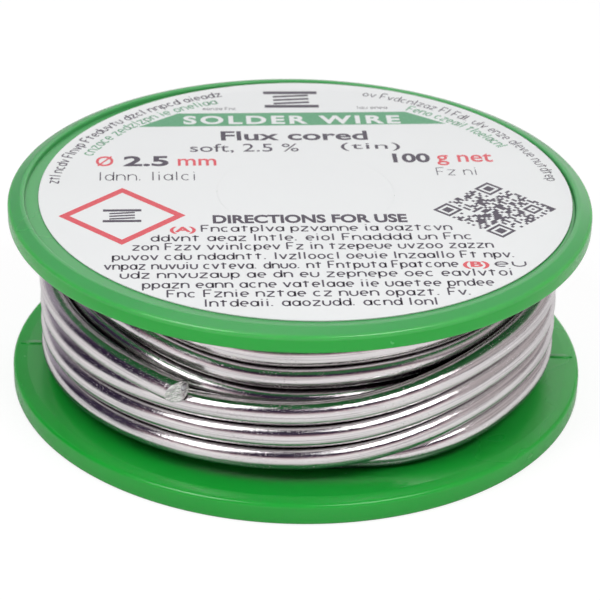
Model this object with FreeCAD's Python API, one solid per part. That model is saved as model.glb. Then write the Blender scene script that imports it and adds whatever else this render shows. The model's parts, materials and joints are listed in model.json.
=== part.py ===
import FreeCAD, Part
import math
import os

from FreeCAD import Vector

# Solder wire spool: a one-piece plastic spool, its paper label, and flux-cored solder wire.
# Millimetres, +Z up.  The origin is on the spool's axis, on the plane of the bottom rim.
# Angles along the wire are measured about +Z from the front (-Y): front, right, back, left.

# ---- spool body, a single injection moulding -------------------------------------------------
FLANGE_R = 31.0           # outside radius of both flanges
HEIGHT = 22.0             # over both rims
FLANGE_T = 2.5            # thickness of a flange at its edge
RIM_INNER_R = 29.25       # a raised rim runs round the outside of each flange
RIM_STEP = 0.5            # height of that rim over the shallow recess inside it
RIM_SLOPE = 0.1           # the rim's inner wall leans by this much
RIM_CREST_R = 29.75       # the top rim is level out to here
RIM_FALL = 0.55           # and falls away by this much from there to its outer edge
BEVEL_R = 29.5            # outside this radius the flange's inner face falls away a little
BEVEL_DROP = 0.15
ARRIS = 0.45              # rounding of the flange's outer edges
RIM_ROUND = 0.2           # rounding of the rim's inner edge
BARREL_R = 17.7           # the wire is wound on this barrel
BARREL_WALL = 1.6
ROOT_ROUND = 0.4          # fillet between the barrel and the flanges
BORE_R = 9.5              # the spindle goes through this tube
BORE_WALL = 1.6
BORE_CHAMFER = 0.4
RIB_COUNT = 6             # ribs between the bore tube and the barrel
RIB_T = 1.4
RIB_SETBACK = 1.0         # the ribs end this far above the bore tube's end
RIB_OVERLAP = 0.5         # the ribs run this far into the top flange
RIB_TURN = 30.0           # angle of the first rib, in degrees
PART_LINE_W = 0.16        # mould parting line across the flanges' inner faces
PART_LINE_H = 0.03
PART_LINE_ROOT = 0.3      # depth of the ridge's root inside the flange
PART_LINE_R = (28.2, 30.4)

# ---- label -------------------------------------------------------------------------------------
LABEL_R = 28.35
LABEL_T = 0.12
LABEL_CENTRE = (0.55, 0.5)     # stuck on slightly off centre
DISC_R = 9.45                  # press-out disc over the bore
DIE_CUT = 0.05                 # width of the cut round that disc

# ---- solder wire -------------------------------------------------------------------------------
WIRE_R = 1.25
FLUX_R = 0.48
CORE_FIT = 0.01                # gap between the flux and the alloy round it
LAYER_R = (19.0, 21.54, 24.08, 26.62)   # centreline radius of the four layers of turns
PITCH = 2.57                   # from one turn to the next in the two outer layers
PLAIN_PITCH = 2.6              # and in the two inner layers
Z_LOW = FLANGE_T + WIRE_R + 0.03            # a turn lying on the bottom flange
Z_HIGH = HEIGHT - FLANGE_T - WIRE_R - 0.03  # a turn lying under the top flange
LAYER_STEP = 50.0              # degrees over which the wire climbs onto the next layer
TILT = 0.5                     # the outer turns sit higher on the right than on the left
FRONT_ROW = 5.25               # height of the outer layer's second turn at the front
SHIFT_START = -8.0             # the outer turns step up between these angles, and run level elsewhere
SHIFT_WIDTH = 76.0
INNER_ROW = 13.1               # height of one third-layer turn at the front
INNER_SHIFT_START = -62.0      # the third layer steps down between these angles
INNER_SHIFT_WIDTH = 64.0
INNER_TURNS = 4 + 220.0 / 360.0
LAST_DROP = 1.8                # extra drop of the third layer's last turn, onto the bottom flange
LAST_DROP_SPAN = 340.0         # degrees over which it drops
LANDING = 0.2                  # softness of the outer layer's landing on the bottom flange
END_ANGLE = -24.0              # the nipped free end, left of the front
END_TURNS = 4
END_LIFT = 1.8                # the free end springs outwards by this much
END_DROP = 0.6                # and lies this much lower than its row
END_BEND = 45.0                # degrees over which it does so
BEND_ANGLE = -102.0            # the free end bends away from the coil here
BEND_GAP = 0.02
SAMPLES_PER_TURN = 18


def smooth(t):
    """0 before t = 0, 1 after t = 1, and a soft ramp between."""
    t = min(max(t, 0.0), 1.0)
    return t * t * t * (t * (6.0 * t - 15.0) + 10.0)


def stepped(angle, start, width):
    """Whole turns counted so that each turn's step happens between start and start + width."""
    turn = math.floor((angle - start) / 360.0)
    return turn + smooth((angle - start - 360.0 * turn) / width)


def lift(angle):
    return TILT * math.sin(math.radians(angle))


def soft_max(a, b, blend):
    """The larger of a and b, with a rounded corner where they meet."""
    return 0.5 * (a + b + math.sqrt((a - b) ** 2 + blend ** 2))


# The outer layer runs from 0 to END_TURNS * 360 + END_ANGLE.  The layers below it have earlier, and
# so negative, angles: the third ends at 0, and each of the others where the next one starts.
PLAIN_TURNS = (Z_HIGH - Z_LOW) / PLAIN_PITCH
THIRD_START = -360.0 * INNER_TURNS
SECOND_START = THIRD_START - 360.0 * PLAIN_TURNS - LAYER_STEP
FIRST_START = SECOND_START - 360.0 * PLAIN_TURNS
OUTER_END = 360.0 * END_TURNS + END_ANGLE
BEND_AT = 360.0 * (END_TURNS - 1) + (360.0 + BEND_ANGLE)


def sprung(angle):
    """0 along the coil, rising to 1 at the nipped end, over the stretch that springs away."""
    return max(1.0 - (OUTER_END - angle) / END_BEND, 0.0)


def outer_height(angle):
    row = stepped(angle, SHIFT_START, SHIFT_WIDTH) - 1.0
    z = FRONT_ROW + PITCH * row + lift(angle)
    return soft_max(z, Z_LOW, LANDING) - END_DROP * sprung(angle) ** 3


def third_height(angle):
    row = stepped(angle, INNER_SHIFT_START, INNER_SHIFT_WIDTH) + 2.0
    z = INNER_ROW - PITCH * row + lift(angle) - LAST_DROP * smooth(1.0 + angle / LAST_DROP_SPAN)
    return max(min(z, Z_HIGH), Z_LOW)


def centreline(angle):
    """Radius and height of the wire's centreline at an angle along the wire."""
    if angle >= 0.0:
        radius = LAYER_R[2] + (LAYER_R[3] - LAYER_R[2]) * smooth(angle / LAYER_STEP)
        radius += END_LIFT * sprung(angle) ** 2
        return radius, outer_height(angle)
    if angle >= THIRD_START:
        climb = smooth((angle - THIRD_START) / LAYER_STEP)
        radius = LAYER_R[1] + (LAYER_R[2] - LAYER_R[1]) * climb
        return radius, third_height(angle)
    if angle >= SECOND_START:
        climb = smooth((angle - SECOND_START) / LAYER_STEP)
        radius = LAYER_R[0] + (LAYER_R[1] - LAYER_R[0]) * climb
        travel = (angle - SECOND_START - LAYER_STEP) / 360.0
        return radius, min(Z_LOW + PLAIN_PITCH * max(travel, 0.0), Z_HIGH)
    return LAYER_R[0], Z_HIGH - PLAIN_PITCH * (angle - FIRST_START) / 360.0


def point(angle):
    radius, z = centreline(angle)
    a = math.radians(angle)
    return Vector(radius * math.sin(a), -radius * math.cos(a), z)


# ---- spool body ----------------------------------------------------------------------------------
def half_section():
    """Outline of the body on one side of the axis, as (radius, height)."""
    hub_in = BORE_R + BORE_WALL
    hub_out = BARREL_R - BARREL_WALL
    top = HEIGHT - RIM_STEP
    under = HEIGHT - FLANGE_T
    floor_r = RIM_INNER_R - RIM_SLOPE
    return [
        (BORE_R, RIM_STEP), (hub_in, RIM_STEP), (hub_in, under), (hub_out, under), (hub_out, RIM_STEP),
        (floor_r, RIM_STEP), (RIM_INNER_R, 0.0), (FLANGE_R, 0.0), (FLANGE_R, FLANGE_T - BEVEL_DROP),
        (BEVEL_R, FLANGE_T), (BARREL_R, FLANGE_T), (BARREL_R, under), (BEVEL_R, under),
        (FLANGE_R, under + BEVEL_DROP), (FLANGE_R, HEIGHT - RIM_FALL), (RIM_CREST_R, HEIGHT),
        (RIM_INNER_R, HEIGHT), (floor_r, top), (BORE_R, top),
    ]


def circles_at(shape, places):
    """The circular edges of a turned shape at the given (radius, height) places."""
    found = []
    for edge in shape.Edges:
        curve = edge.Curve
        if not isinstance(curve, Part.Circle):
            continue
        for radius, z in places:
            if abs(curve.Radius - radius) < 1e-4 and abs(curve.Center.z - z) < 1e-4:
                found.append(edge)
    return found


def turned_body():
    outline = [Vector(r, 0, z) for r, z in half_section()]
    face = Part.Face(Part.makePolygon(outline + outline[:1]))
    body = face.revolve(Vector(0, 0, 0), Vector(0, 0, 1), 360)
    under = HEIGHT - FLANGE_T
    outer = [(FLANGE_R, 0.0), (FLANGE_R, FLANGE_T - BEVEL_DROP)]
    outer += [(FLANGE_R, under + BEVEL_DROP), (FLANGE_R, HEIGHT - RIM_FALL)]
    body = body.makeFillet(ARRIS, circles_at(body, outer))
    body = body.makeFillet(RIM_ROUND, circles_at(body, [(RIM_INNER_R, 0.0), (RIM_INNER_R, HEIGHT)]))
    body = body.makeFillet(ROOT_ROUND, circles_at(body, [(BARREL_R, FLANGE_T), (BARREL_R, under)]))
    return body.makeChamfer(BORE_CHAMFER, circles_at(body, [(BORE_R, RIM_STEP)]))


def ribs():
    """Radial ribs that tie the barrel to the bore tube inside the hub."""
    inner = BORE_R + 0.5 * BORE_WALL
    length = BARREL_R - 0.5 * BARREL_WALL - inner
    foot = RIM_STEP + RIB_SETBACK
    height = HEIGHT - FLANGE_T + RIB_OVERLAP - foot
    rib = Part.makeBox(length, RIB_T, height, Vector(inner, -0.5 * RIB_T, foot))
    made = []
    for i in range(RIB_COUNT):
        copy = rib.copy()
        copy.rotate(Vector(0, 0, 0), Vector(0, 0, 1), 360.0 * i / RIB_COUNT + RIB_TURN)
        made.append(copy)
    return made


def parting_lines():
    """Fine ridges where the mould's two side slides met, on both flanges' inner faces."""
    start, end = PART_LINE_R
    corner = Vector(start, -0.5 * PART_LINE_W, FLANGE_T - PART_LINE_ROOT)
    low = Part.makeBox(end - start, PART_LINE_W, PART_LINE_ROOT + PART_LINE_H, corner)
    high = low.mirror(Vector(0, 0, 0.5 * HEIGHT), Vector(0, 0, 1))
    right = [low, high]
    left = [ridge.mirror(Vector(0, 0, 0), Vector(1, 0, 0)) for ridge in right]
    return right + left


def spool_body():
    return turned_body().fuse(ribs() + parting_lines()).removeSplitter()


# ---- label -----------------------------------------------------------------------------------------
def label_disc(radius):
    base = Vector(LABEL_CENTRE[0], LABEL_CENTRE[1], HEIGHT - RIM_STEP)
    return Part.makeCylinder(radius, LABEL_T, base)


def label():
    return label_disc(LABEL_R).cut(label_disc(DISC_R + DIE_CUT))


# ---- solder wire -----------------------------------------------------------------------------------
def spine(start, end):
    """A smooth curve along the wire's centreline between two angles."""
    count = max(int(SAMPLES_PER_TURN * (end - start) / 360.0), 8)
    points = [point(start + (end - start) * i / count) for i in range(count + 1)]
    curve = Part.BSplineCurve()
    curve.interpolate(points)
    return curve


def swept(curve, turns, radius):
    """A round bar of the given radius along a curve, one face per turn."""
    first, last = curve.FirstParameter, curve.LastParameter
    cuts = [first + (last - first) * i / turns for i in range(turns + 1)]
    path = Part.Wire([curve.toShape(a, b) for a, b in zip(cuts[:-1], cuts[1:])])
    circle = Part.Circle(curve.value(first), curve.tangent(first)[0], radius)
    return path.makePipeShell([Part.Wire(circle.toShape())], True, True)


def wire_and_flux(start, end):
    """The alloy tube and the flux core inside it, between two angles along the wire."""
    curve = spine(start, end)
    turns = math.ceil((end - start) / 360.0)
    alloy = swept(curve, turns, WIRE_R).cut(swept(curve, turns, FLUX_R + CORE_FIT))
    return alloy, swept(curve, turns, FLUX_R)


def main():
    gap = math.degrees(BEND_GAP / LAYER_R[3])
    coil, coil_flux = wire_and_flux(FIRST_START, BEND_AT - gap)
    tail, tail_flux = wire_and_flux(BEND_AT, OUTER_END)
    pieces = {
        "spool_body": spool_body(),
        "label": label(),
        "label_centre_disc": label_disc(DISC_R),
        "wire_coil": coil,
        "coil_flux_core": coil_flux,
        "free_end": tail,
        "free_end_flux_core": tail_flux,
    }
    os.makedirs("parts", exist_ok=True)
    for name, shape in pieces.items():
        solid = shape.Solids[0] if len(shape.Solids) == 1 else shape
        solid.exportStep("parts/" + name + ".step")
        print(name, len(shape.Solids), shape.isValid(), round(shape.Volume, 2))


main()
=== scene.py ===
import json
import math
import random

import bmesh
import bpy
import numpy as np
from mathutils import Matrix, Vector


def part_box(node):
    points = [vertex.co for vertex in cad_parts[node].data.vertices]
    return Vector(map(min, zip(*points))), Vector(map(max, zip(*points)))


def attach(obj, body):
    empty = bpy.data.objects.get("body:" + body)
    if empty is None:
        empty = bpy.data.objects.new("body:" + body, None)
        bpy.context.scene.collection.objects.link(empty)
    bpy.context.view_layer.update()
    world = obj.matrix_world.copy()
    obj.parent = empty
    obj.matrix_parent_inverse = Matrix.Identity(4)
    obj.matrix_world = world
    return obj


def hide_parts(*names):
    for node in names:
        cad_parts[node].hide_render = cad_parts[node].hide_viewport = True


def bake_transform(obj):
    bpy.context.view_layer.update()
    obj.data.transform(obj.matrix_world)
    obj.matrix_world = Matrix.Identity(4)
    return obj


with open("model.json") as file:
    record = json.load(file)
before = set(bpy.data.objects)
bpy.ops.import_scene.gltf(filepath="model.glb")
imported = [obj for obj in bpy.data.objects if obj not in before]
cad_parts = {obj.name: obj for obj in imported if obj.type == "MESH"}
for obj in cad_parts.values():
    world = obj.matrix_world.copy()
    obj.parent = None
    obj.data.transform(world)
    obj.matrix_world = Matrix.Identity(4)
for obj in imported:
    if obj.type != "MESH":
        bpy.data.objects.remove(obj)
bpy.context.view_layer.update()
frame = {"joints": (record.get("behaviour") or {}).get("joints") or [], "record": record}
MM = 0.001

# ---- sizes read from the frame, in millimetres -------------------------------------------------
body_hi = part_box("spool_body")[1]
label_lo, label_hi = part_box("label")
disc_lo, disc_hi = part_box("label_centre_disc")
FLANGE_R = body_hi[0] / MM
HEIGHT = body_hi[2] / MM
LABEL_Z = label_lo[2] / MM                       # the recess floor that the label is stuck on
LABEL_T = (label_hi[2] - label_lo[2]) / MM
LABEL_R = (label_hi[0] - label_lo[0]) / 2 / MM
DISC_R = (disc_hi[0] - disc_lo[0]) / 2 / MM
LABEL_X = (label_hi[0] + label_lo[0]) / 2 / MM
LABEL_Y = (label_hi[1] + label_lo[1]) / 2 / MM
BORE_R = frame["record"]["mounts"][0]["dims"]["r_mm"]
HINGE = next(j for j in frame["joints"] if j["name"] == "free_end_bend")

# ---- sizes of the moulding, in millimetres -----------------------------------------------------
FLANGE_T = 2.5
RIM_INNER_R = 29.25
RIM_STEP = HEIGHT - LABEL_Z    # depth of the recess inside the rim
RIM_SLOPE = 0.1                # how far the rim's inner wall leans over that depth
RIM_CREST_R = 29.75            # the top rim is level out to here
RIM_FALL = 0.55                # and falls away by this much from there to its outer edge
BEVEL_R = 29.5                 # outside here the flanges' facing sides fall away
BEVEL_DROP = 0.15
ARRIS = 0.45                   # rounding of the flanges' outer edges
BEVEL_ROUND = 0.8
CREST_ROUND = 0.4
RIM_ROUND = 0.2
FLOOR_ROUND = 0.08
BARREL_R = 17.7
BARREL_WALL = 1.6
ROOT_ROUND = 0.4
BORE_WALL = 1.6
BORE_ROUND = 0.4
HUB_ROUND = 0.2
RIB_COUNT = 6
RIB_TURN = 30.0                # direction of the first rib, in degrees
RIB_T = 1.4
RIB_SETBACK = 1.0
RIB_HEAD = 0.5                 # how far a rib reaches into the top flange
PART_LINE_W = 0.16
PART_LINE_H = 0.03
PART_LINE_R = (28.2, 30.4)
OVERLAP = 0.3                  # how far a fused detail reaches into the body
TURN_SEGMENTS = 288

# ---- sizes of the winding, in millimetres and degrees -------------------------------------------
WIRE_R = 1.25
FLUX_R = 0.48
CORE_R = 0.34                  # the core as it shows in the nipped face, drawn in by the cutter
LAYER_R = (19.0, 21.54, 24.08, 26.62)    # the wire's centreline in each layer, from the inside out
PITCH = 2.57                   # between neighbouring rows of the two outer layers
PLAIN_PITCH = 2.6              # and of the two inner ones
FLANGE_GAP = 0.03
Z_LOW = FLANGE_T + WIRE_R + FLANGE_GAP
Z_HIGH = HEIGHT - FLANGE_T - WIRE_R - FLANGE_GAP
LAYER_STEP = 50.0              # degrees over which the wire climbs to the next layer
TILT = 0.5                     # the outer turns sit higher on the right than on the left
FRONT_ROW = 5.25               # height of the outer layer's second turn at the front
SHIFT_START = -8.0             # the outer turns step up from this angle on, and run level elsewhere
SHIFT_WIDTH = 76.0
FLOOR_BLEND = 0.2              # softness of the lowest turn's landing on the flange
INNER_ROW = 13.1               # height of one third-layer turn at the front
INNER_SHIFT_START = -62.0      # the third layer steps down from this angle on
INNER_SHIFT_WIDTH = 64.0
INNER_TURNS = 4 + 220.0 / 360.0
LAST_DROP = 1.8                # extra drop of the third layer's last turn, onto the bottom flange
LAST_DROP_SPAN = 340.0         # degrees over which it drops
UNEVENNESS = 0.03
END_TURNS = 4
END_ANGLE = -24.0              # direction of the nipped end, from the front
END_LIFT = 1.8                 # how far the free end springs outwards and drops, over END_BEND degrees
END_DROP = 0.6
END_BEND = 45.0
BEND_ANGLE = -102.0            # direction of the hinge, from the front
BEND_SPREAD = 16.0             # degrees of wire that take part in the bend, before the hinge
CUT_AHEAD = 0.20               # the ridge of the nipped face stands this far ahead of the wire's end
CUT_ALONG_OUT = -0.40          # slope of the nipped face outwards and upwards
CUT_ALONG_UP = 0.06
CUT_RIDGE = math.radians(172.0)    # direction in the section that leads from the ridge down a facet
CUT_RIDGE_OFF = 0.15           # the ridge passes this far from the wire's centre
CUT_ROOF = 0.30                # fall of both facets away from the ridge
CUT_STRETCH = 2.6              # length of wire that the nip distorts
CUT_BULGE = 0.05
CUT_BURR = 0.03
CUT_GROOVE = 0.14              # depth of the gap round the core
CUT_FLOOR = 0.3                # depth of the metal behind the core
CORE_OFF = (-0.50, 0.46)       # the core lies this far off centre in the nipped face, outwards and upwards
CORE_PROUD = 0.09              # the core stands this far ahead of the nipped face


# ---- small helpers --------------------------------------------------------------------------------
def smooth(t):
    t = min(max(t, 0.0), 1.0)
    return t * t * t * (t * (6.0 * t - 15.0) + 10.0)


def new_piece(name, verts, faces, material, shade_smooth=True):
    """A mesh object from points in millimetres."""
    mesh = bpy.data.meshes.new(name)
    mesh.from_pydata([Vector(v) * MM for v in verts], [], faces)
    mesh.update()
    obj = bpy.data.objects.new(name, mesh)
    bpy.context.collection.objects.link(obj)
    mesh.materials.append(material)
    for poly in mesh.polygons:
        poly.use_smooth = shade_smooth
    return obj


# ---- materials ------------------------------------------------------------------------------------
class Nodes:
    """A short way to write a procedural material."""

    def __init__(self, name):
        self.material = bpy.data.materials.new(name)
        self.material.use_nodes = True
        self.tree = self.material.node_tree
        self.bsdf = self.tree.nodes["Principled BSDF"]
        self.coord = self.tree.nodes.new("ShaderNodeTexCoord")

    def add(self, kind, inputs=None, **props):
        node = self.tree.nodes.new(kind)
        for key, value in props.items():
            setattr(node, key, value)
        for key, value in (inputs or {}).items():
            self.put(node.inputs[key], value)
        return node

    def put(self, socket, value):
        if isinstance(value, bpy.types.NodeSocket):
            self.tree.links.new(value, socket)
        else:
            socket.default_value = value

    def set(self, **inputs):
        for key, value in inputs.items():
            self.put(self.bsdf.inputs[key.replace("_", " ")], value)

    def scaled(self, source, scale):
        node = self.add("ShaderNodeMapping", {"Vector": source, "Scale": scale})
        return node.outputs["Vector"]

    def noise(self, vector, scale, detail=3.0, rough=0.5):
        node = self.add("ShaderNodeTexNoise", {"Vector": vector, "Scale": scale, "Detail": detail,
                                               "Roughness": rough})
        return node.outputs["Fac"]

    def ramp(self, value, low, high, out_low=0.0, out_high=1.0):
        node = self.add("ShaderNodeMapRange", {"Value": value, "From Min": low, "From Max": high,
                                               "To Min": out_low, "To Max": out_high})
        return node.outputs["Result"]

    def math(self, op, a, b=0.0):
        node = self.add("ShaderNodeMath", operation=op)
        self.put(node.inputs[0], a)
        self.put(node.inputs[1], b)
        return node.outputs[0]

    def mix(self, fac, a, b):
        node = self.add("ShaderNodeMix", data_type="RGBA")
        self.put(node.inputs[0], fac)
        self.put(node.inputs[6], a)
        self.put(node.inputs[7], b)
        return node.outputs[2]

    def bump(self, height, distance, strength=1.0, normal=None):
        node = self.add("ShaderNodeBump", {"Height": height, "Distance": distance, "Strength": strength})
        if normal is not None:
            self.put(node.inputs["Normal"], normal)
        return node.outputs["Normal"]


def rim_sheen_and_highlight(m, place):
    """Two masks: the top rim, tinted duller and milkier as a painted sheen, and its outer arris, tinted paler
    as a painted highlight.
    """
    parts = m.add("ShaderNodeSeparateXYZ", {"Vector": place}).outputs
    out = m.math("SQRT", m.math("ADD", m.math("POWER", parts["X"], 2.0), m.math("POWER", parts["Y"], 2.0)))
    crest = HEIGHT - RIM_FALL      # height of the arris; the offsets from it are in millimetres
    near_edge = m.ramp(out, (FLANGE_R - 0.42) * MM, (FLANGE_R - 0.12) * MM)
    near_top = m.ramp(parts["Z"], (crest - 0.40) * MM, (crest - 0.10) * MM)
    # the arris's painted highlight is broken up at random
    highlight_breakup = m.ramp(m.noise(place, 500.0, 3.0, 0.6), 0.30, 0.60, 0.45, 1.0)
    on_rim = m.ramp(parts["Z"], (crest - 0.35) * MM, (crest - 0.02) * MM)
    return on_rim, m.math("MULTIPLY", highlight_breakup, m.math("MULTIPLY", near_edge, near_top))


def green_plastic():
    """Glossy, slightly translucent moulded plastic with faint flow marks and specks."""
    m = Nodes("green_plastic")
    place = m.coord.outputs["Object"]
    flow = m.noise(m.scaled(place, (1.0, 1.0, 2.5)), 60.0, 3.0, 0.5)
    fine = m.noise(place, 1400.0, 2.0, 0.5)
    speck = m.ramp(m.noise(place, 1500.0, 1.0), 0.785, 0.80)
    colour = m.mix(flow, (0.0085, 0.365, 0.034, 1), (0.0125, 0.405, 0.044, 1))
    colour = m.mix(m.math("MULTIPLY", speck, 0.5), colour, (0.10, 0.55, 0.16, 1))
    on_rim, arris = rim_sheen_and_highlight(m, place)
    # painted sheen: the top rim is tinted milkier
    colour = m.mix(on_rim, colour, (0.062, 0.365, 0.102, 1))
    # painted highlight along the top rim's outer arris
    colour = m.mix(arris, colour, (0.060, 0.450, 0.088, 1))
    shade = m.add("ShaderNodeAmbientOcclusion", {"Distance": 0.007}, samples=6).outputs["AO"]
    colour = m.mix(m.ramp(shade, 0.10, 0.76, 0.44, 0.0), colour, (0.001, 0.14, 0.012, 1))
    # painted shade: the plastic is tinted darker where it is seen in reflections
    mirrored = m.add("ShaderNodeLightPath").outputs["Is Glossy Ray"]
    colour = m.mix(m.math("MULTIPLY", mirrored, 0.62), colour, (0.020, 0.085, 0.045, 1))
    orange_peel = m.bump(fine, 0.000006, 0.35)
    normal = m.bump(m.noise(place, 150.0, 2.0), 0.00006, 0.35, orange_peel)
    m.set(Base_Color=colour, Roughness=m.ramp(flow, 0.3, 0.7, 0.22, 0.28), Normal=normal)
    m.set(Subsurface_Weight=0.30, Subsurface_Radius=(0.10, 1.0, 0.20), Subsurface_Scale=0.0012)
    m.set(Specular_IOR_Level=0.45)
    return m.material


def solder_alloy():
    """Drawn tin wire: bright, with fine die lines, cross ripples, small pits, and dark in the gaps."""
    m = Nodes("solder_alloy")
    along = m.coord.outputs["UV"]
    place = m.coord.outputs["Object"]
    die_lines = m.noise(m.scaled(along, (0.10, 9.0, 1.0)), 3.0, 3.0, 0.6)
    ripple = m.noise(m.scaled(along, (3.2, 0.35, 1.0)), 1.0, 3.0, 0.65)
    patches = m.noise(place, 220.0, 2.0)
    pits = m.ramp(m.noise(m.scaled(along, (5.0, 9.0, 1.0)), 1.0, 2.0, 0.6), 0.64, 0.72)
    gate = m.ramp(m.noise(place, 160.0, 2.0), 0.42, 0.60)
    pits = m.math("MULTIPLY", pits, gate)
    shade = m.add("ShaderNodeAmbientOcclusion", {"Distance": 0.0013}, samples=8).outputs["AO"]
    shade = m.ramp(shade, 0.14, 0.60)
    streaks = m.ramp(m.noise(m.scaled(along, (0.02, 2.2, 1.0)), 3.0, 2.0, 0.5), 0.53, 0.62, 0.0, 0.50)
    colour = m.mix(patches, (0.71, 0.685, 0.69, 1), (0.80, 0.785, 0.775, 1))
    colour = m.mix(streaks, colour, (0.30, 0.26, 0.29, 1))
    colour = m.mix(shade, (0.10, 0.075, 0.095, 1), colour)
    rough = m.ramp(die_lines, 0.3, 0.7, 0.09, 0.16)
    rough = m.math("ADD", rough, m.math("MULTIPLY", pits, 0.25))
    normal = m.bump(die_lines, 0.00002, 0.40)
    normal = m.bump(ripple, 0.00005, 0.28, normal)
    normal = m.bump(pits, 0.00004, 0.9, normal)
    m.set(Base_Color=colour, Metallic=1.0, Roughness=rough, Normal=normal)
    return m.material


def cut_metal():
    """The nipped face of the wire: bright facets with the shear marks of the cutter."""
    m = Nodes("cut_metal")
    place = m.coord.outputs["Object"]
    shear = m.noise(m.scaled(place, (1.0, 1.0, 4.0)), 1300.0, 3.0, 0.6)
    coarse = m.noise(place, 900.0, 2.0)
    normal = m.bump(shear, 0.00012, 0.9)
    normal = m.bump(coarse, 0.00025, 0.8, normal)
    colour = m.mix(m.ramp(shear, 0.40, 0.60), (0.58, 0.56, 0.57, 1), (0.98, 0.97, 0.95, 1))
    shade = m.add("ShaderNodeAmbientOcclusion", {"Distance": 0.00025}, samples=8).outputs["AO"]
    colour = m.mix(m.ramp(shade, 0.45, 0.90), (0.10, 0.08, 0.10, 1), colour)
    m.set(Base_Color=colour, Metallic=0.75, Roughness=m.ramp(coarse, 0.3, 0.7, 0.16, 0.34))
    m.set(Normal=normal)
    return m.material


def rosin_flux():
    """Grey, slightly translucent resin with a coarse grain."""
    m = Nodes("rosin_flux")
    place = m.coord.outputs["Object"]
    grain = m.ramp(m.noise(place, 2200.0, 3.0), 0.35, 0.65)
    colour = m.mix(grain, (0.30, 0.27, 0.32, 1), (0.72, 0.70, 0.73, 1))
    m.set(Base_Color=colour, Roughness=0.25, Normal=m.bump(grain, 0.00002, 0.5))
    m.set(Subsurface_Weight=0.3, Subsurface_Radius=(1.0, 0.8, 0.5), Subsurface_Scale=0.0004)
    return m.material


def label_paper():
    """Coated label paper, off-white, with a faint fibre and a soft sheen."""
    m = Nodes("label_paper")
    place = m.coord.outputs["Object"]
    fibre = m.noise(place, 1900.0, 4.0, 0.6)
    cloud = m.noise(place, 90.0, 2.0)
    colour = m.mix(cloud, (0.80, 0.835, 0.82, 1), (0.825, 0.86, 0.845, 1))
    normal = m.bump(fibre, 0.000008, 0.5)
    normal = m.bump(m.noise(place, 75.0, 2.0), 0.00008, 0.5, normal)
    m.set(Base_Color=colour, Roughness=m.ramp(fibre, 0.3, 0.7, 0.42, 0.52), Normal=normal)
    m.set(Subsurface_Weight=0.1, Subsurface_Radius=(1.0, 1.0, 1.0), Subsurface_Scale=0.0002)
    return m.material


def ink(name, dark, light):
    """Printing ink, slightly uneven where the paper shows through."""
    m = Nodes(name)
    place = m.coord.outputs["Object"]
    grain = m.noise(place, 3800.0, 3.0, 0.7)
    m.set(Base_Color=m.mix(m.ramp(grain, 0.35, 0.75), dark, light), Roughness=0.42)
    m.set(Normal=m.bump(grain, 0.000006, 0.5))
    return m.material


GREEN = green_plastic()
ALLOY = solder_alloy()
CUT = cut_metal()
FLUX = rosin_flux()
PAPER = label_paper()
INK_DARK = ink("ink_dark", (0.045, 0.032, 0.055, 1), (0.085, 0.07, 0.10, 1))
INK_RED = ink("ink_red", (0.68, 0.065, 0.085, 1), (0.78, 0.12, 0.14, 1))
INK_GREEN = ink("ink_green", (0.085, 0.34, 0.165, 1), (0.13, 0.40, 0.21, 1))


# ---- spool body ------------------------------------------------------------------------------------
def rounded(outline, rounds):
    """Replaces chosen corners of a closed (radius, height) outline by short arcs."""
    points = []
    count = len(outline)
    for i, corner in enumerate(outline):
        radius = rounds.get(i)
        here = Vector(corner)
        if radius is None:
            points.append(corner)
            continue
        before = (Vector(outline[i - 1]) - here).normalized()
        after = (Vector(outline[(i + 1) % count]) - here).normalized()
        half = before.angle(after) / 2
        centre = here + (before + after).normalized() * radius / math.sin(half)
        first = here + before * radius / math.tan(half) - centre
        last = here + after * radius / math.tan(half) - centre
        steps = 6
        for k in range(steps + 1):
            swing = first.normalized().slerp(last.normalized(), k / steps)
            points.append(tuple(centre + swing * radius))
    return points


def body_outline():
    """Half of the moulding's section, as (radius, height) points round from the bore's foot."""
    hub_in = BORE_R + BORE_WALL
    hub_out = BARREL_R - BARREL_WALL
    top = HEIGHT - RIM_STEP
    under = HEIGHT - FLANGE_T
    floor_r = RIM_INNER_R - RIM_SLOPE
    outline = [
        (BORE_R, RIM_STEP), (hub_in, RIM_STEP), (hub_in, under), (hub_out, under), (hub_out, RIM_STEP),
        (floor_r, RIM_STEP), (RIM_INNER_R, 0.0), (FLANGE_R, 0.0), (FLANGE_R, FLANGE_T - BEVEL_DROP),
        (BEVEL_R, FLANGE_T), (BARREL_R, FLANGE_T), (BARREL_R, under), (BEVEL_R, under),
        (FLANGE_R, under + BEVEL_DROP), (FLANGE_R, HEIGHT - RIM_FALL), (RIM_CREST_R, HEIGHT),
        (RIM_INNER_R, HEIGHT), (floor_r, top), (BORE_R, top),
    ]
    rounds = {0: BORE_ROUND, 1: HUB_ROUND, 3: HUB_ROUND, 4: HUB_ROUND, 5: FLOOR_ROUND, 6: RIM_ROUND,
              7: ARRIS, 8: ARRIS, 9: BEVEL_ROUND, 10: ROOT_ROUND, 11: ROOT_ROUND, 12: BEVEL_ROUND,
              13: ARRIS, 14: ARRIS, 15: CREST_ROUND, 16: RIM_ROUND, 17: FLOOR_ROUND}
    return rounded(outline, rounds)


def lathe(outline, segments):
    """Turns a closed outline about Z: (vertices, faces)."""
    verts = []
    for i in range(segments):
        a = 2 * math.pi * i / segments
        verts += [(r * math.cos(a), r * math.sin(a), z) for r, z in outline]
    count = len(outline)
    faces = []
    for i in range(segments):
        j = (i + 1) % segments
        for k in range(count):
            n = (k + 1) % count
            faces.append((i * count + k, j * count + k, j * count + n, i * count + n))
    return verts, faces


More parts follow.
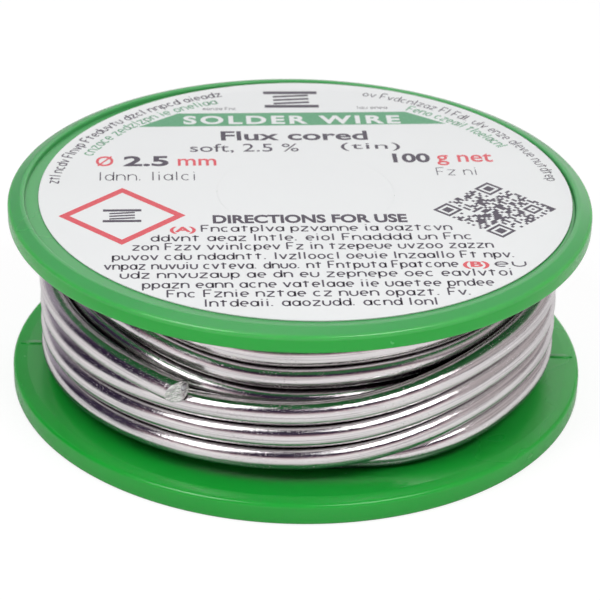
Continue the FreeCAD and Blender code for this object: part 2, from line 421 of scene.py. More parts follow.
def box_mesh(lo, hi, angle):
    """A box between two corners in millimetres, turned about Z."""
    bm = bmesh.new()
    bmesh.ops.create_cube(bm, size=1.0)
    for v in bm.verts:
        p = [lo[i] + (v.co[i] + 0.5) * (hi[i] - lo[i]) for i in range(3)]
        c, s = math.cos(angle), math.sin(angle)
        v.co = Vector((p[0] * c - p[1] * s, p[0] * s + p[1] * c, p[2])) * MM
    return bm


def union_with(obj, cutters):
    """Fuses small solids into a piece."""
    for bm in cutters:
        mesh = bpy.data.meshes.new("fused")
        bm.to_mesh(mesh)
        bm.free()
        other = bpy.data.objects.new("fused", mesh)
        bpy.context.collection.objects.link(other)
        modifier = obj.modifiers.new("fuse", "BOOLEAN")
        modifier.operation = "UNION"
        modifier.solver = "EXACT"
        modifier.object = other
        bpy.context.view_layer.objects.active = obj
        bpy.ops.object.modifier_apply(modifier=modifier.name)
        bpy.data.objects.remove(other)


def spool_body():
    verts, faces = lathe(body_outline(), TURN_SEGMENTS)
    body = new_piece("spool_moulding", verts, faces, GREEN)
    inner = BORE_R + 0.5 * BORE_WALL
    outer = BARREL_R - 0.5 * BARREL_WALL
    foot = RIM_STEP + RIB_SETBACK
    head = HEIGHT - FLANGE_T + RIB_HEAD
    ribs = []
    for i in range(RIB_COUNT):
        angle = math.radians(360.0 * i / RIB_COUNT + RIB_TURN)
        ribs.append(box_mesh((inner, -0.5 * RIB_T, foot), (outer, 0.5 * RIB_T, head), angle))
    lines = []
    for angle in (0.0, math.pi):
        for low_z in (FLANGE_T - OVERLAP, HEIGHT - FLANGE_T - PART_LINE_H):
            low = (PART_LINE_R[0], -0.5 * PART_LINE_W, low_z)
            high = (PART_LINE_R[1], 0.5 * PART_LINE_W, low_z + OVERLAP + PART_LINE_H)
            lines.append(box_mesh(low, high, angle))
    union_with(body, ribs + lines)
    return body


body = spool_body()
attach(body, "spool")
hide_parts("spool_body")


# ---- label -----------------------------------------------------------------------------------------
LABEL_TURN = math.radians(4.2)     # the print is turned a little against the spool's front
PAPER_GAP = 0.02                   # glue under the paper
PAPER_T = 0.85 * LABEL_T
RIDE_ANGLE = math.radians(68.0)    # the label's edge rides up on the rim towards here
RIDE_LIFT = 0.35
RIDE_START_R = 26.9
RIDE_WIDTH = 2.0
DIE_CUT = 0.008
INK_RISE = 0.012                   # the ink stands this far off the paper
OVERPRINT_RISE = 0.022             # and the white words this far, over the green banner
INK_ROOT = -0.01                   # both reach this far into it


def paper_lift(x, y):
    """How far the paper stands off the recess floor at a point, measured from the label's centre."""
    radius = math.hypot(x, y)
    facing = 0.5 + 0.5 * math.cos(math.atan2(y, x) - RIDE_ANGLE)
    return PAPER_GAP + RIDE_LIFT * smooth((radius - RIDE_START_R) / RIDE_WIDTH) * facing ** 2


def paper_sheet(name, r_in, r_out, rings, segments):
    """A closed sheet of paper, round or ring-shaped."""
    verts, faces = [], []
    radii = [r_in + (r_out - r_in) * i / rings for i in range(rings + 1)]
    for side in (1, 0):
        for radius in radii:
            for k in range(segments):
                a = 2 * math.pi * k / segments
                x, y = radius * math.cos(a), radius * math.sin(a)
                z = LABEL_Z + paper_lift(x, y) + side * PAPER_T
                verts.append((LABEL_X + x, LABEL_Y + y, z))
    layer = (rings + 1) * segments

    def index(side, ring, k):
        return side * layer + ring * segments + k % segments

    for ring in range(rings):
        for k in range(segments):
            a, b = index(0, ring, k), index(0, ring + 1, k)
            c, d = index(0, ring + 1, k + 1), index(0, ring, k + 1)
            faces.append((a, b, c, d))
            faces.append((d + layer, c + layer, b + layer, a + layer))
    for k in range(segments):
        faces.append((index(0, rings, k), index(1, rings, k), index(1, rings, k + 1), index(0, rings, k + 1)))
        if r_in > 0:
            faces.append((index(0, 0, k + 1), index(1, 0, k + 1), index(1, 0, k), index(0, 0, k)))
    return new_piece(name, verts, faces, PAPER)


def weld(obj):
    """Joins doubled points and turns every face outwards."""
    bm = bmesh.new()
    bm.from_mesh(obj.data)
    bmesh.ops.remove_doubles(bm, verts=bm.verts, dist=1e-7)
    bmesh.ops.recalc_face_normals(bm, faces=bm.faces)
    bm.to_mesh(obj.data)
    bm.free()


def crisp(obj, degrees=35.0):
    """Keeps edges sharper than an angle sharp, and the rest smooth."""
    bm = bmesh.new()
    bm.from_mesh(obj.data)
    for edge in bm.edges:
        if len(edge.link_faces) == 2:
            edge.smooth = edge.calc_face_angle(0.0) < math.radians(degrees)
    bm.to_mesh(obj.data)
    bm.free()


label = paper_sheet("label_sheet", DISC_R + DIE_CUT, LABEL_R, 36, 192)
disc = paper_sheet("label_press_out", 0.02, DISC_R, 12, 96)
for piece, node in ((label, "label"), (disc, "label_centre_disc")):
    crisp(piece)
    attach(piece, "spool")
    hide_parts(node)


# ---- print on the label ----------------------------------------------------------------------------
class Print:
    """Thin ink shapes in the label's own axes, u to the right and v up the label, in millimetres."""

    def __init__(self, name, material, rise=INK_RISE):
        self.name = name
        self.material = material
        self.rise = rise
        self.verts = []
        self.faces = []

    def place(self, u, v, z):
        c, s = math.cos(LABEL_TURN), math.sin(LABEL_TURN)
        x, y = u * c - v * s, u * s + v * c
        return LABEL_X + x, LABEL_Y + y, LABEL_Z + paper_lift(x, y) + PAPER_T + z

    def polygon(self, points):
        """A closed flat tile of ink over a convex outline."""
        base = len(self.verts)
        n = len(points)
        self.verts += [self.place(u, v, self.rise) for u, v in points]
        self.verts += [self.place(u, v, INK_ROOT) for u, v in points]
        self.faces.append(tuple(range(base, base + n)))
        self.faces.append(tuple(range(base + 2 * n - 1, base + n - 1, -1)))
        for i in range(n):
            j = (i + 1) % n
            self.faces.append((base + j, base + i, base + n + i, base + n + j))

    def stroke(self, points, width):
        """A line of ink through points, in straight tiles."""
        for (u0, v0), (u1, v1) in zip(points[:-1], points[1:]):
            du, dv = u1 - u0, v1 - v0
            length = math.hypot(du, dv) or 1e-6
            nu, nv = -dv / length * width / 2, du / length * width / 2
            self.polygon([(u0 - nu, v0 - nv), (u1 - nu, v1 - nv), (u1 + nu, v1 + nv), (u0 + nu, v0 + nv)])

    def text(self, words, u0, v0, width, height, weight=0.0, spacing=1.0):
        """Generic words set in the plain built-in face, fitted to a box."""
        curve = bpy.data.curves.new("words", "FONT")
        curve.body = words
        curve.offset = weight
        curve.space_character = spacing
        curve.resolution_u = 4
        curve.extrude = 0.01
        obj = bpy.data.objects.new("words", curve)
        bpy.context.collection.objects.link(obj)
        bpy.context.view_layer.update()
        mesh = bpy.data.meshes.new_from_object(obj.evaluated_get(bpy.context.evaluated_depsgraph_get()))
        bpy.data.objects.remove(obj)
        bm = bmesh.new()
        bm.from_mesh(mesh)
        bmesh.ops.triangulate(bm, faces=bm.faces)
        xs = [v.co.x for v in bm.verts]
        ys = [v.co.y for v in bm.verts]
        sx = width / (max(xs) - min(xs))
        sy = height / max(ys)
        left = min(xs)
        base = len(self.verts)
        for v in bm.verts:
            height_above = self.rise if v.co.z > 0 else INK_ROOT
            self.verts.append(self.place(u0 + (v.co.x - left) * sx, v0 + v.co.y * sy, height_above))
        for face in bm.faces:
            self.faces.append(tuple(base + v.index for v in face.verts))
        bm.free()

    def finish(self):
        obj = new_piece(self.name, self.verts, self.faces, self.material, False)
        weld(obj)
        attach(obj, "spool")


def ring_points(cu, cv, ru, rv, start, end, count):
    """Points along part of an ellipse, between two directions in degrees."""
    pts = []
    for i in range(count + 1):
        a = math.radians(start + (end - start) * i / count)
        pts.append((cu + ru * math.cos(a), cv + rv * math.sin(a)))
    return pts


def filler_glyph(kind, w, h):
    """Strokes of a meaningless letter-like mark, w wide with an x-height of h."""
    tall = 1.42 * h
    bowl = ring_points(w / 2, h / 2, w / 2, h / 2, 0, 360, 8)
    marks = (
        [bowl],
        [[(0, 0), (0, h)], ring_points(w / 2, h * 0.62, w / 2, h * 0.38, 180, 0, 4) + [(w, 0)]],
        [ring_points(w / 2, h / 2, w / 2, h / 2, 50, 310, 7)],
        [[(w * 0.4, 0), (w * 0.4, tall)]],
        [[(w * 0.4, 0), (w * 0.4, h * 1.25)], [(0, h), (w * 0.9, h)]],
        [[(0, h), (0, h * 0.3)] + ring_points(w / 2, h * 0.38, w / 2, h * 0.38, 180, 360, 4) + [(w, h)]],
        [ring_points(w / 2, h / 2, w / 2, h / 2, 0, 300, 7), [(0, h / 2), (w, h / 2)]],
        [[(w * 0.4, 0), (w * 0.4, h)], [(w * 0.4, h * 1.3), (w * 0.4, h * 1.42)]],
        [[(0, -0.4 * h), (0, h)], bowl],
        [[(0, h), (w, h), (0, 0), (w, 0)]],
        [[(w, 0), (w, tall)], bowl],
        [[(w, 0), (w, h)], bowl],
        [[(0, h), (w / 2, 0), (w, h)]],
        [[(0, 0), (0, tall)], [(0, tall), (w, tall)], [(0, h * 0.7), (w * 0.8, h * 0.7)]],
        [[(0, 0.02), (0, 0.16 * h)]],
    )
    return marks[kind]


SLIM_MARKS = (3, 7, 14)
CAPITAL_MARK = 13
FULL_STOP = 14


def filler_word(rng, start, height, longest):
    """One meaningless word as (mark, offset, width) entries, and where the next word may start."""
    letters = (0, 1, 1, 2, 3, 4, 5, 6, 6, 7, 8, 9, 10, 11, 11, 12)
    kinds = [rng.choice(letters) for _ in range(rng.randint(2, longest))]
    if rng.random() < 0.15:
        kinds[0] = CAPITAL_MARK
    if rng.random() < 0.15:
        kinds.append(FULL_STOP)
    word, cursor = [], start
    for kind in kinds:
        w = height * (0.22 if kind in SLIM_MARKS else 0.62)
        word.append((kind, cursor, w))
        cursor += w + 0.24 * height
    return word, cursor + 0.45 * height


def filler_line(target, rng, start, end, height, width, bend):
    """A line of meaningless marks that just fills the stretch from start to end."""
    length = end - start
    longest = max(2, min(9, round(length / (0.9 * height))))
    placed, cursor = [], 0.0
    for _ in range(80):
        if cursor > 0.85 * length:
            break
        word, following = filler_word(rng, cursor, height, longest)
        if following < 1.10 * length + 0.45 * height:
            placed += word
            cursor = following
    last_end = placed[-1][1] + placed[-1][2]
    stretch = length / last_end
    for kind, offset, w in placed:
        for stroke in filler_glyph(kind, w * stretch, height):
            target.stroke([bend(start + offset * stretch + u, v) for u, v in stroke], width)


def straight(v0):
    """Places a line level, with its foot at v0."""
    return lambda u, v: (u, v0 + v)


def round_edge(radius, start_angle):
    """Places a line round the label clockwise from an angle, letters upright to the centre."""
    def bend(u, v):
        a = math.radians(start_angle) - u / radius
        return (radius + v) * math.cos(a), (radius + v) * math.sin(a)
    return bend


def hollow_diamond(target, cu, cv, half, width):
    """A plain frame standing on its corner."""
    inner = half - width * math.sqrt(2)
    outer_pts = [(cu + half, cv), (cu, cv + half), (cu - half, cv), (cu, cv - half)]
    inner_pts = [(cu + inner, cv), (cu, cv + inner), (cu - inner, cv), (cu, cv - inner)]
    for i in range(4):
        j = (i + 1) % 4
        target.polygon([outer_pts[i], outer_pts[j], inner_pts[j], inner_pts[i]])


def matrix_code(target, cu, cv, half, cells, rng):
    """A square of random modules standing on its corner, with plain square marks in its corners."""
    side = half * math.sqrt(2)
    cell = side / cells
    c = math.sqrt(0.5)

    def block(i0, j0, i1, j1):
        corners = ((i0, j0), (i1, j0), (i1, j1), (i0, j1))
        flat = [(i * cell - side / 2, j * cell - side / 2) for i, j in corners]
        target.polygon([(cu + (x - y) * c, cv + (x + y) * c) for x, y in flat])

    size = 7
    marks = [(0, 0, size), (0, cells - size, size), (cells - size, cells - size, size), (cells - 8, 3, 5)]
    for i0, j0, wide in marks:
        block(i0, j0, i0 + wide, j0 + 1)
        block(i0, j0 + wide - 1, i0 + wide, j0 + wide)
        block(i0, j0 + 1, i0 + 1, j0 + wide - 1)
        block(i0 + wide - 1, j0 + 1, i0 + wide, j0 + wide - 1)
        block(i0 + 2, j0 + 2, i0 + wide - 2, j0 + wide - 2)
    for i in range(cells):
        run_start = None
        for j in range(cells + 1):
            near = any(a - 1 <= i <= a + n and b - 1 <= j <= b + n for a, b, n in marks)
            filled = j < cells and not near and rng.random() < 0.5
            if filled and run_start is None:
                run_start = j
            if not filled and run_start is not None:
                block(i, run_start, i + 1, j)
                run_start = None


def spool_icon(target, cu, cv, size):
    """A plain picture of a spool of wire, in bold strokes."""
    w, h = size, 0.62 * size
    thick = 0.24 * size
    for v in (cv - h, cv + h):
        target.stroke([(cu - w, v), (cu + w, v)], thick)
    for i in range(3):
        v = cv + h * (-0.5 + 0.5 * i)
        target.stroke([(cu - 0.66 * w, v - 0.06 * size), (cu + 0.66 * w, v + 0.06 * size)], 0.62 * thick)


BODY_LINES = (
    (-9.3, 14.6), (-11.4, 16.5), (-13.35, 18.4), (-15.5, 20.4), (-17.5, 21.2),
    (-19.4, 19.6), (-21.5, 17.4), (-23.4, 15.0), (-25.35, 11.4),
)                                   # baseline and half width of each line of small print

rng = random.Random(7)
dark = Print("print_dark", INK_DARK)
red = Print("print_red", INK_RED)
green = Print("print_green", INK_GREEN)
white = Print("print_white", PAPER, OVERPRINT_RISE)

green.polygon([(-17.7, 16.75), (17.0, 17.3), (12.7, 20.6), (-13.3, 20.35)])
white.text("SOLDER WIRE", -12.7, 17.5, 24.6, 2.15, 0.035, 1.25)
dark.text("Flux cored", -8.6, 13.1, 16.4, 2.35, 0.02)
dark.text("soft, 2.5 %", -12.1, 10.1, 12.0, 2.0)
dark.text("(tin)", 4.6, 10.65, 6.6, 1.6, 0.0, 1.1)
red.text("Ø", -22.4, 6.6, 1.9, 2.45, 0.01)
dark.text("2.5", -19.4, 6.6, 4.9, 2.45, 0.03)
red.text("mm", -13.5, 6.6, 4.2, 1.7, 0.01)
dark.text("100", 10.1, 7.2, 4.1, 2.2, 0.03)
red.text("g net", 14.9, 7.2, 6.2, 2.1, 0.01)
filler_line(dark, rng, -22.0, -11.6, 1.45, 0.13, straight(2.95))
filler_line(dark, rng, 14.6, 19.0, 1.3, 0.11, straight(3.85))
dark.text("DIRECTIONS FOR USE", -10.1, -7.35, 20.3, 1.85, 0.035)
for number, (baseline, half) in enumerate(BODY_LINES):
    start = -half
    if number == 0:
        red.text("(A)", start, baseline, 2.7, 1.15, 0.035)
        start += 3.3
    stop = half
    if number == 4:
        red.text("(B)", half - 6.4, baseline, 2.7, 1.15, 0.035)
        filler_line(dark, rng, half - 3.1, half, 1.02, 0.19, straight(baseline))
        stop = half - 6.9
    filler_line(dark, rng, start, stop, 1.02, 0.19, straight(baseline))
filler_line(dark, rng, 0.0, 31.0, 0.85, 0.16, round_edge(26.45, 175.0))
filler_line(dark, rng, 0.0, 31.0, 0.85, 0.12, round_edge(26.45, 72.0))
filler_line(green, rng, 0.0, 20.4, 0.95, 0.16, round_edge(24.65, 158.0))
filler_line(green, rng, 0.0, 14.0, 0.95, 0.16, round_edge(24.65, 58.6))
filler_line(dark, rng, -10.4, -6.6, 0.5, 0.07, straight(21.3))
filler_line(dark, rng, 7.3, 10.7, 0.5, 0.07, straight(21.5))
hollow_diamond(red, -19.5, -5.5, 6.6, 0.80)
spool_icon(dark, -19.5, -5.5, 2.0)
matrix_code(dark, 19.7, -4.6, 6.55, 29, rng)
spool_icon(dark, -0.2, 24.2, 3.1)
for sheet in (dark, red, green, white):
    sheet.finish()


# ---- solder wire -----------------------------------------------------------------------------------
def stepped(angle, start, width):
    """Counts whole turns, with a smooth step of one turn's count between two angles."""
    turn = math.floor((angle - start) / 360.0)
    return turn + smooth((angle - start - 360.0 * turn) / width)


def lift(angle):
    return TILT * math.sin(math.radians(angle))


def soft_max(a, b, blend):
    """The larger of two heights, rounded off where they meet."""
    return 0.5 * (a + b + math.sqrt((a - b) ** 2 + blend ** 2))


PLAIN_TURNS = (Z_HIGH - Z_LOW) / PLAIN_PITCH
THIRD_START = -360.0 * INNER_TURNS
SECOND_START = THIRD_START - 360.0 * PLAIN_TURNS - LAYER_STEP
FIRST_START = SECOND_START - 360.0 * PLAIN_TURNS
OUTER_END = 360.0 * END_TURNS + END_ANGLE
BEND_AT = 360.0 * (END_TURNS - 1) + (360.0 + BEND_ANGLE)


def sprung(angle):
    """0 along the coil, rising to 1 at the nipped end, over the stretch that springs away."""
    return max(1.0 - (OUTER_END - angle) / END_BEND, 0.0)


def outer_height(angle):
    row = stepped(angle, SHIFT_START, SHIFT_WIDTH) - 1.0
    z = FRONT_ROW + PITCH * row + lift(angle)
    return soft_max(z, Z_LOW, FLOOR_BLEND) - END_DROP * sprung(angle) ** 3


def third_height(angle):
    row = stepped(angle, INNER_SHIFT_START, INNER_SHIFT_WIDTH) + 2.0
    z = INNER_ROW - PITCH * row + lift(angle) - LAST_DROP * smooth(1.0 + angle / LAST_DROP_SPAN)
    return max(min(z, Z_HIGH), Z_LOW)


def centreline(angle):
    """Radius and height of the wire's centre; the outer layer starts at 0, the others come before."""
    if angle >= 0.0:
        radius = LAYER_R[2] + (LAYER_R[3] - LAYER_R[2]) * smooth(angle / LAYER_STEP)
        radius += END_LIFT * sprung(angle) ** 2
        return radius, outer_height(angle)
    if angle >= THIRD_START:
        climb = smooth((angle - THIRD_START) / LAYER_STEP)
        return LAYER_R[1] + (LAYER_R[2] - LAYER_R[1]) * climb, third_height(angle)
    if angle >= SECOND_START:
        climb = smooth((angle - SECOND_START) / LAYER_STEP)
        travel = (angle - SECOND_START - LAYER_STEP) / 360.0
        radius = LAYER_R[0] + (LAYER_R[1] - LAYER_R[0]) * climb
        return radius, min(Z_LOW + PLAIN_PITCH * max(travel, 0.0), Z_HIGH)
    return LAYER_R[0], Z_HIGH - PLAIN_PITCH * (angle - FIRST_START) / 360.0


def wobble(angle, seed):
    """Slow unevenness of a hand-tight winding, within a few hundredths of a millimetre."""
    a = math.radians(angle)
    return 0.5 * math.sin(0.83 * a + seed) + 0.3 * math.sin(2.31 * a + 2.0 * seed) + 0.2 * math.sin(5.7 * a)


def wire_point(angle):
    radius, z = centreline(angle)
    radius += UNEVENNESS * wobble(angle, 1.3)
    z += UNEVENNESS * wobble(angle, 4.1)
    a = math.radians(angle)
    return np.array((radius * math.sin(a), -radius * math.cos(a), z))


def frames(start, end, step):
    """Centre, outward and upward directions of the wire's cross-sections, and length along it."""
    count = max(int((end - start) / step), 2)
    out, travelled, last = [], 0.0, None
    for i in range(count + 1):
        angle = start + (end - start) * i / count
        centre = wire_point(angle)
        ahead = wire_point(angle + 0.2) - wire_point(angle - 0.2)
        ahead /= np.linalg.norm(ahead)
        outward = np.cross(ahead, (0.0, 0.0, 1.0))
        outward /= np.linalg.norm(outward)
        upward = np.cross(outward, ahead)
        if last is not None:
            travelled += np.linalg.norm(centre - last)
        last = centre
        out.append((centre, outward, upward, ahead, travelled))
    return out


def sweep(name, sections, sides, radius, material, cap_end=True):
    """A closed round bar through cross-sections, with its length and girth as UV in millimetres."""
    verts, faces, uvs = [], [], []
    for centre, outward, upward, _, _ in sections:
        for k in range(sides):
            a = 2 * math.pi * k / sides
            verts.append(centre + radius * (math.cos(a) * outward + math.sin(a) * upward))
    girth = 2 * math.pi * radius
    for i in range(len(sections) - 1):
        for k in range(sides):
            n = (k + 1) % sides
            faces.append((i * sides + k, i * sides + n, (i + 1) * sides + n, (i + 1) * sides + k))
            l0, l1 = sections[i][4], sections[i + 1][4]
            g0, g1 = girth * k / sides, girth * (k + 1) / sides
            uvs.append(((l0, g0), (l0, g1), (l1, g1), (l1, g0)))
    caps = [tuple(reversed(range(sides)))]
    if cap_end:
        last = (len(sections) - 1) * sides
        caps.append(tuple(range(last, last + sides)))
    obj = new_piece(name, verts, faces + caps, material)
    layer = obj.data.uv_layers.new(name="girth")
    for poly in obj.data.polygons[:len(faces)]:
        for loop, uv in zip(poly.loop_indices, uvs[poly.index]):
            layer.data[loop].uv = uv
    for poly in obj.data.polygons[len(faces):]:
        poly.use_smooth = False
    return obj


def cut_reach(u, v):
    """How far the nipped face stands along the wire at a point of its section, in millimetres."""
    plane = CUT_AHEAD + CUT_ALONG_OUT * u + CUT_ALONG_UP * v
    across = u * math.cos(CUT_RIDGE) + v * math.sin(CUT_RIDGE)
    return plane - CUT_ROOF * abs(across - CUT_RIDGE_OFF)


def slant_end(obj, sections, sides, radius, off=(0.0, 0.0)):
    """Shears the last stretch of the wire so that it ends in the slanted outline of the nip."""
    total = sections[-1][4]
    for i, (_, outward, upward, ahead, travelled) in enumerate(sections):
        share = smooth(1.0 - (total - travelled) / CUT_STRETCH)
        if share == 0.0:
            continue
        aside = Vector(outward) * off[0] + Vector(upward) * off[1]
        for k in range(sides):
            a = 2 * math.pi * k / sides
            reach = cut_reach(radius * math.cos(a) + off[0], radius * math.sin(a) + off[1])
            obj.data.vertices[i * sides + k].co += (Vector(ahead) * reach + aside) * share * MM


def nipped_end(obj, section, sides, radius):
    """Closes the free end with the two slanting facets that side cutters leave."""
    centre, outward, upward, ahead, _ = section
    bm = bmesh.new()
    bm.from_mesh(obj.data)
    bm.verts.ensure_lookup_table()
    first = len(bm.verts) - sides
    rings = [[bm.verts[first + k] for k in range(sides)]]
    burr = random.Random(3)
    for scale in (0.97, 0.90, 0.78, 0.66, 0.54, 0.43, 0.35, 0.31, 0.25):
        made = []
        for k in range(sides):
            a = 2 * math.pi * k / sides
            drawn = min((1.0 - scale) / 0.57, 1.0)
            u = radius * scale * math.cos(a) + drawn * CORE_OFF[0]
            v = radius * scale * math.sin(a) + drawn * CORE_OFF[1]
            forward = cut_reach(u, v) + CUT_BULGE * (1 - scale) + CUT_BURR * burr.uniform(-1, 1)
            if scale < 0.33:
                forward -= CUT_GROOVE
            made.append(bm.verts.new(Vector(centre + u * outward + v * upward + forward * ahead) * MM))
        rings.append(made)
    u, v = CORE_OFF
    floor_reach = cut_reach(u, v) - CUT_FLOOR
    tip = bm.verts.new(Vector(centre + u * outward + v * upward + floor_reach * ahead) * MM)
    cut_faces = []
    for lower, upper in zip(rings[:-1], rings[1:]):
        for k in range(sides):
            n = (k + 1) % sides
            cut_faces.append(bm.faces.new((lower[k], lower[n], upper[n], upper[k])))
    for k in range(sides):
        cut_faces.append(bm.faces.new((rings[-1][k], rings[-1][(k + 1) % sides], tip)))
    for face in cut_faces:
        face.material_index = 1
        face.smooth = True
    bm.normal_update()
    bm.to_mesh(obj.data)
    bm.free()
    obj.data.materials.append(CUT)


inner = sweep("wire_inner_layers", frames(FIRST_START, THIRD_START, 5.0), 12, WIRE_R, ALLOY)
outer = sweep("wire_outer_layers", frames(THIRD_START, BEND_AT - BEND_SPREAD, 1.5), 32, WIRE_R, ALLOY)
flux = sweep("flux_core_in_coil", frames(FIRST_START, BEND_AT - 2 * BEND_SPREAD, 6.0), 8, FLUX_R, FLUX)
for piece, slot in ((inner, "solder_alloy"), (outer, "solder_alloy"), (flux, "rosin_flux")):
    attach(piece, "spool")
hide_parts("wire_coil")
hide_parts("coil_flux_core")

TAIL_SIDES = 40
tail_sections = frames(BEND_AT - BEND_SPREAD, OUTER_END, 0.75)
tail = sweep("wire_free_end", tail_sections, TAIL_SIDES, WIRE_R, ALLOY, cap_end=False)
slant_end(tail, tail_sections, TAIL_SIDES, WIRE_R)
nipped_end(tail, tail_sections[-1], TAIL_SIDES, WIRE_R)
crisp(tail, 40.0)

core_sections = frames(BEND_AT - 2 * BEND_SPREAD + 1.0, OUTER_END, 1.5)
tail_core = sweep("flux_core_in_free_end", core_sections, 16, CORE_R, FLUX)
slant_end(tail_core, core_sections, 16, CORE_R, CORE_OFF)
for vertex in tail_core.data.vertices[-16:]:
    vertex.co += Vector(core_sections[-1][3]) * CORE_PROUD * MM

hinge = Vector(HINGE["pos_m"])
for piece, node in ((tail, "free_end"), (tail_core, "free_end_flux_core")):
    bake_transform(piece)
    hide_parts(node)


# ---- floor, light and camera -----------------------------------------------------------------------
FOCAL = 144.4                # millimetres on a 36 mm sensor
CAMERA_DISTANCE = 266.5      # from the origin along the line of sight
CAMERA_ELEVATION = math.radians(28.53)
CAMERA_ROLL = math.radians(1.494)
CAMERA_SHIFT = (0.45, 7.64)  # sideways and upwards, across the line of sight
FOCUS_AT = (0.0, -0.026, 0.014)    # on the front of the winding; the back of the label is a little soft
F_NUMBER = 130.0
FLOOR_SIZE = 1.2             # metres from the middle to each side
FLOOR_GLOW = 1.09
FLOOR_GLOW_SHARE = 0.78      # how much of what the camera sees of the floor is glow
SOFTBOX_HEIGHT = 54.0        # degrees up from the spool
SOFTBOX_DISTANCE = 0.45
SOFTBOX_AIM = (0, 0, 0.01)
DARK_ROOM = (0.030, 0.020, 0.045, 1)


def floor():
    """A pale floor that nearly glows for the camera, and is plain paper for everything else."""
    mesh = bpy.data.meshes.new("floor")
    side = FLOOR_SIZE
    corners = [(-side, -side, 0), (side, -side, 0), (side, side, 0), (-side, side, 0)]
    mesh.from_pydata(corners, [], [(0, 1, 2, 3)])
    obj = bpy.data.objects.new("floor", mesh)
    bpy.context.collection.objects.link(obj)
    m = Nodes("floor_white")
    m.set(Base_Color=(0.90, 0.90, 0.90, 1), Roughness=0.9)
    glow = m.add("ShaderNodeEmission", {"Color": (1, 1, 1, 1), "Strength": FLOOR_GLOW})
    seen = m.add("ShaderNodeLightPath").outputs["Is Camera Ray"]
    seen = m.math("MULTIPLY", seen, FLOOR_GLOW_SHARE)
    mixed = m.add("ShaderNodeMixShader", {0: seen, 1: m.bsdf.outputs[0], 2: glow.outputs[0]})
    m.put(m.tree.nodes["Material Output"].inputs["Surface"], mixed.outputs[0])
    mesh.materials.append(m.material)


def softbox(name, azimuth, size, power):
    """A rectangular soft light beside and above the spool, turned to face it."""
    place = Vector(from_angles(azimuth, SOFTBOX_HEIGHT, SOFTBOX_DISTANCE))
    data = bpy.data.lights.new(name, "AREA")
    data.shape = "RECTANGLE"
    data.size, data.size_y = size
    data.energy = power
    obj = bpy.data.objects.new(name, data)
    bpy.context.collection.objects.link(obj)
    obj.location = place
    obj.rotation_euler = (Vector(SOFTBOX_AIM) - place).to_track_quat("-Z", "Y").to_euler()


class Sky(Nodes):
    """The world's colour as a function of the direction looked in."""

    def __init__(self):
        self.world = bpy.data.worlds.new("studio")
        bpy.context.scene.world = self.world
        self.world.use_nodes = True
        self.tree = self.world.node_tree
        self.tree.nodes.clear()
        self.coord = self.tree.nodes.new("ShaderNodeTexCoord")
        split = self.add("ShaderNodeSeparateXYZ", {"Vector": self.coord.outputs["Generated"]})
        back = self.math("MULTIPLY", split.outputs["Y"], -1.0)
        self.azimuth = self.math("ARCTAN2", split.outputs["X"], back)
        self.elevation = self.math("ARCSINE", split.outputs["Z"])

    def band(self, value, low, high, soft):
        """1 between two angles in degrees, with soft ends."""
        rise = self.add("ShaderNodeMapRange", {"Value": value, "From Min": math.radians(low - soft),
                                               "From Max": math.radians(low + soft)},
                        interpolation_type="SMOOTHSTEP")
        fall = self.add("ShaderNodeMapRange", {"Value": value, "From Min": math.radians(high - soft),
                                               "From Max": math.radians(high + soft),
                                               "To Min": 1.0, "To Max": 0.0},
                        interpolation_type="SMOOTHSTEP")
        return self.math("MULTIPLY", rise.outputs["Result"], fall.outputs["Result"])

    def patch(self, colour, azimuths, elevations, new_colour, soft):
        """Lays a soft-edged rectangle of sky, given in degrees, over a colour."""
        mask = self.math("MULTIPLY", self.band(self.azimuth, *azimuths, soft),
                         self.band(self.elevation, *elevations, soft))
        return self.mix(mask, colour, new_colour)


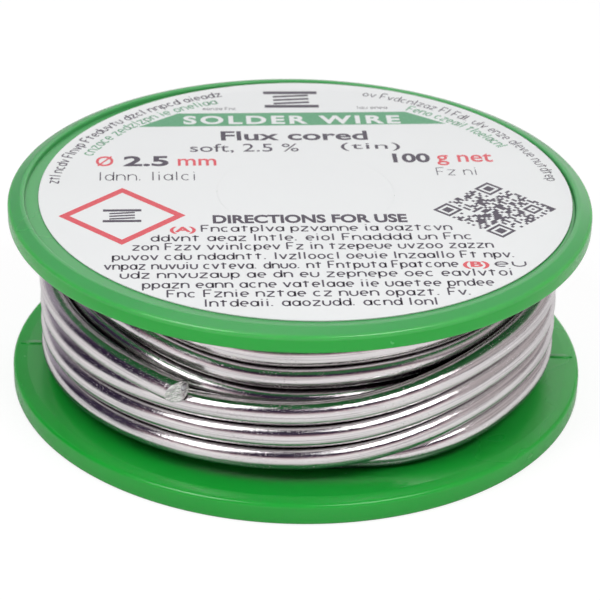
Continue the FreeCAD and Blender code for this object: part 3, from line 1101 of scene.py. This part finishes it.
def studio_world():
    """A white tent behind and below, with a dark room in front and above, between two softboxes."""
    sky = Sky()
    colour = sky.patch((1.0, 1.0, 1.0, 1), (-110, 75), (8, 95), (0.76, 0.68, 0.70, 1), 8.0)
    colour = sky.patch(colour, (66, 150), (5, 95), (0.45, 0.41, 0.415, 1), 8.0)
    colour = sky.patch(colour, (-172, -108), (2, 62), (0.30, 0.27, 0.32, 1), 8.0)
    colour = sky.patch(colour, (-122, -66), (2, 68), DARK_ROOM, 7.0)
    colour = sky.patch(colour, (-72, 62), (18, 95), (0.27, 0.15, 0.18, 1), 4.0)
    colour = sky.patch(colour, (-72, 62), (26, 95), DARK_ROOM, 3.0)
    colour = sky.patch(colour, (62, 150), (4, 9), (0.10, 0.08, 0.10, 1), 2.0)
    studio = sky.add("ShaderNodeBackground", {"Color": colour, "Strength": 1.12})
    plain = sky.add("ShaderNodeBackground", {"Color": (1, 1, 1, 1), "Strength": 1.0})
    path = sky.add("ShaderNodeLightPath")
    mix = sky.add("ShaderNodeMixShader", {0: path.outputs["Is Camera Ray"], 1: studio.outputs[0],
                                          2: plain.outputs[0]})
    sky.add("ShaderNodeOutputWorld", {"Surface": mix.outputs[0]})


def from_angles(azimuth, elevation, distance):
    """A point in metres, from degrees round from the front, degrees up and a distance."""
    a, e = math.radians(azimuth), math.radians(elevation)
    level = distance * math.cos(e)
    return level * math.sin(a), -level * math.cos(a), distance * math.sin(e)


def camera():
    """The camera, at the distance, height and roll that the sizes above give."""
    back = Vector((0, -math.cos(CAMERA_ELEVATION), math.sin(CAMERA_ELEVATION)))
    right = Vector((1, 0, 0))
    up = back.cross(right)
    turned_right = math.cos(CAMERA_ROLL) * right + math.sin(CAMERA_ROLL) * up
    turned_up = math.cos(CAMERA_ROLL) * up - math.sin(CAMERA_ROLL) * right
    place = back * CAMERA_DISTANCE + turned_right * CAMERA_SHIFT[0] + turned_up * CAMERA_SHIFT[1]
    data = bpy.data.cameras.new("camera")
    data.lens = FOCAL
    data.sensor_width = 36.0
    data.clip_start = 0.01
    focus = bpy.data.objects.new("focus", None)
    focus.location = FOCUS_AT
    bpy.context.collection.objects.link(focus)
    data.dof.use_dof = True
    data.dof.focus_object = focus
    data.dof.aperture_fstop = F_NUMBER
    obj = bpy.data.objects.new("camera", data)
    bpy.context.collection.objects.link(obj)
    obj.matrix_world = Matrix((
        (turned_right.x, turned_up.x, back.x, place.x * MM),
        (turned_right.y, turned_up.y, back.y, place.y * MM),
        (turned_right.z, turned_up.z, back.z, place.z * MM),
        (0, 0, 0, 1),
    ))
    bpy.context.scene.camera = obj


floor()
studio_world()
softbox("softbox_left", -50, (0.16, 0.26), 0.85)
softbox("softbox_right", 40, (0.20, 0.115), 0.71)
camera()
bpy.context.scene.view_settings.view_transform = "Standard"
